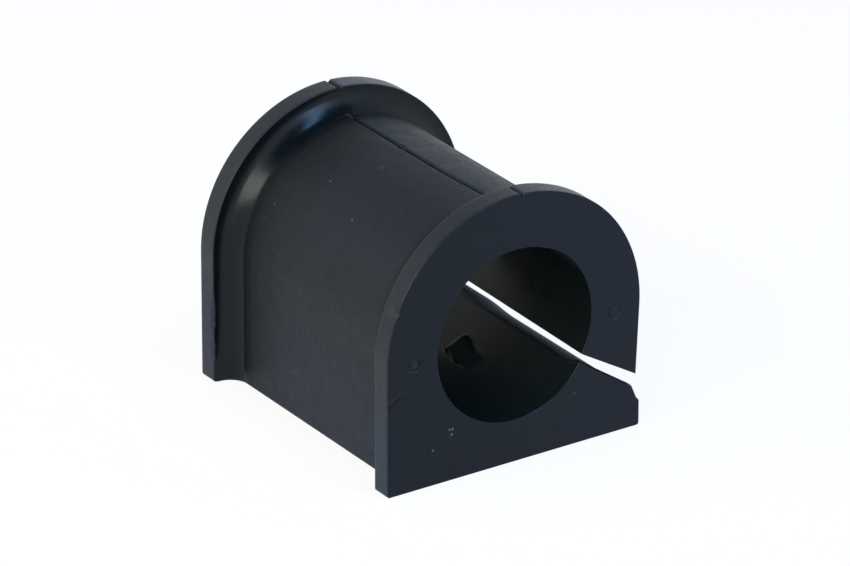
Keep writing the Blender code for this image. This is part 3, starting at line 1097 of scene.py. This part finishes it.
def glossy_rubber():
    """The fillets, which the mould left smooth, with painted shade in their darker colour."""
    material, graph = new_material("glossy_rubber")
    place = graph.coordinates("Object")
    colour = graph.mix(graph.noise(place, *GLOSSY_COLOUR_NOISE), *GLOSSY_SHADE_COLOURS)
    roughness = graph.band(graph.noise(place, *GLOSSY_ROUGHNESS_NOISE), *NOISE_MOST, *GLOSSY_ROUGHNESS)
    right = graph.band(graph.parts(place)["X"], *GLOSSY_RIGHT_RANGE, 0, GLOSSY_RIGHT_MORE)
    roughness = graph.math("ADD", roughness, right)
    grain = graph.noise(place, *GLOSSY_GRAIN_NOISE)
    shader = graph.surface(colour, roughness, grain, strength=0.1, distance=0.02 * MM)
    shader.inputs["IOR"].default_value = RUBBER_IOR
    shader.inputs["Specular IOR Level"].default_value = GLOSSY_SPECULAR
    return material


def cut_rubber():
    """The slit's faces: the same rubber with a rough cut surface that has almost no gloss. Its pale grey is painted
    reflection.
    """
    material, graph = new_material("cut_rubber")
    place = graph.coordinates("Object")
    colour = graph.mix(graph.noise(place, *CUT_COLOUR_NOISE), *CUT_REFLECTION_COLOURS)
    colour = graph.mix(graph.fall(graph.parts(place)["Y"], CUT_EDGE_SHADE_RANGE), colour, CUT_EDGE_SHADE_COLOUR)
    grain = graph.noise(place, *CUT_GRAIN_NOISE)
    shader = graph.surface(colour, CUT_ROUGHNESS, grain, strength=0.4, distance=0.05 * MM)
    shader.inputs["Specular IOR Level"].default_value = CUT_SPECULAR
    return material


# Stage

FLOOR_REACH = 2.5
FLOOR_SHADE_KEPT = 0.12
FLOOR_COLOUR = (0.85, 0.85, 0.85, 1)

# The backdrop is white round the horizon and falls to dark overhead. The world's own light is soft and pale.
BACKDROP_EDGE = (0.55, 0.85)
BACKDROP_WHITE = (1.0, 1.0, 1.0)
BACKDROP_DARK = (0.06, 0.06, 0.06)
SOFT_COLOUR = (0.92, 0.96, 1, 1)
SOFT_SHARE = 0.55

# Lamps, aimed at the bore's middle. The left one is rolled, so that its glow lies square across the far fillet.
LAMP_DISTANCE = 0.5
LEFT_ROLL = radians(-14)


def seen_rays(graph):
    """1 for camera, glossy and transmission rays."""
    path = graph.nodes.new("ShaderNodeLightPath")
    return graph.any_of(*(path.outputs[f"Is {kind} Ray"] for kind in ("Camera", "Glossy", "Transmission")))


def mix_shader(graph, share, first, second):
    node = graph.nodes.new("ShaderNodeMixShader")
    graph.links.new(share, node.inputs[0])
    graph.links.new(first, node.inputs[1])
    graph.links.new(second, node.inputs[2])
    return node.outputs[0]


def make_floor():
    mesh = bmesh.new()
    bmesh.ops.create_grid(mesh, x_segments=1, y_segments=1, size=FLOOR_REACH)
    data = bpy.data.meshes.new("floor")
    mesh.to_mesh(data)
    mesh.free()
    floor = bpy.data.objects.new("floor", data)
    bpy.context.scene.collection.objects.link(floor)
    material, graph = new_material("pale_floor")
    shader = graph.nodes["Principled BSDF"]
    shader.inputs["Base Color"].default_value = FLOOR_COLOUR
    shader.inputs["Roughness"].default_value = 0.9
    shader.inputs["Specular IOR Level"].default_value = 0
    white = graph.nodes.new("ShaderNodeEmission")
    white.inputs["Strength"].default_value = 1
    share = graph.all_of(seen_rays(graph), 1 - FLOOR_SHADE_KEPT)
    mixed = mix_shader(graph, share, shader.outputs[0], white.outputs[0])
    graph.links.new(mixed, graph.nodes["Material Output"].inputs["Surface"])
    data.materials.append(material)


def make_world():
    world = bpy.data.worlds.new("studio")
    bpy.context.scene.world = world
    world.use_nodes = True
    graph = Graph(world.node_tree)
    overhead = graph.rise(graph.parts(graph.coordinates("Generated"))["Z"], BACKDROP_EDGE)
    soft = graph.nodes["Background"]
    soft.inputs["Color"].default_value = SOFT_COLOUR
    soft.inputs["Strength"].default_value = SOFT_SHARE
    seen = graph.nodes.new("ShaderNodeBackground")
    graph.links.new(graph.mix(overhead, BACKDROP_WHITE, BACKDROP_DARK), seen.inputs["Color"])
    seen.inputs["Strength"].default_value = 1
    mixed = mix_shader(graph, seen_rays(graph), soft.outputs[0], seen.outputs[0])
    graph.links.new(mixed, graph.nodes["World Output"].inputs["Surface"])


def make_lamp(name, toward, size, power, colour, roll=0):
    data = bpy.data.lights.new(name, "AREA")
    data.shape = "RECTANGLE"
    data.size, data.size_y = size
    data.energy = power
    data.color = colour
    lamp = bpy.data.objects.new(name, data)
    away = Vector(toward).normalized()
    lamp.location = Vector((0, 0, AXIS_HEIGHT)) + away * LAMP_DISTANCE
    lamp.rotation_euler = (away.to_track_quat("Z", "Y") @ Quaternion((0, 0, 1), roll)).to_euler()
    bpy.context.scene.collection.objects.link(lamp)


def make_camera():
    data = bpy.data.cameras.new("camera")
    data.sensor_width = SENSOR_WIDTH
    data.lens = LENS
    data.clip_start = CLIP_START
    camera = bpy.data.objects.new("camera", data)
    axes = Matrix((CAMERA_RIGHT, CAMERA_UP, CAMERA_BACK)).transposed()
    camera.matrix_world = Matrix.Translation(CAMERA_PLACE) @ axes.to_4x4()
    bpy.context.scene.collection.objects.link(camera)
    bpy.context.scene.camera = camera


block = make_block()
for material in (moulded_rubber(), cut_rubber(), glossy_rubber()):
    block.data.materials.append(material)
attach(block, "root")
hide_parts("bushing")

make_floor()
make_world()
make_lamp("overhead", (0.20, -0.54, 0.81), size=(0.085, 0.70), power=2.35, colour=(0.30, 0.58, 1))
make_lamp("left", (-0.83, -0.29, 0.48), size=(0.95, 0.20), power=3.45, colour=(1, 0.97, 0.94), roll=LEFT_ROLL)
make_camera()
bpy.context.scene.view_settings.view_transform = "Standard"
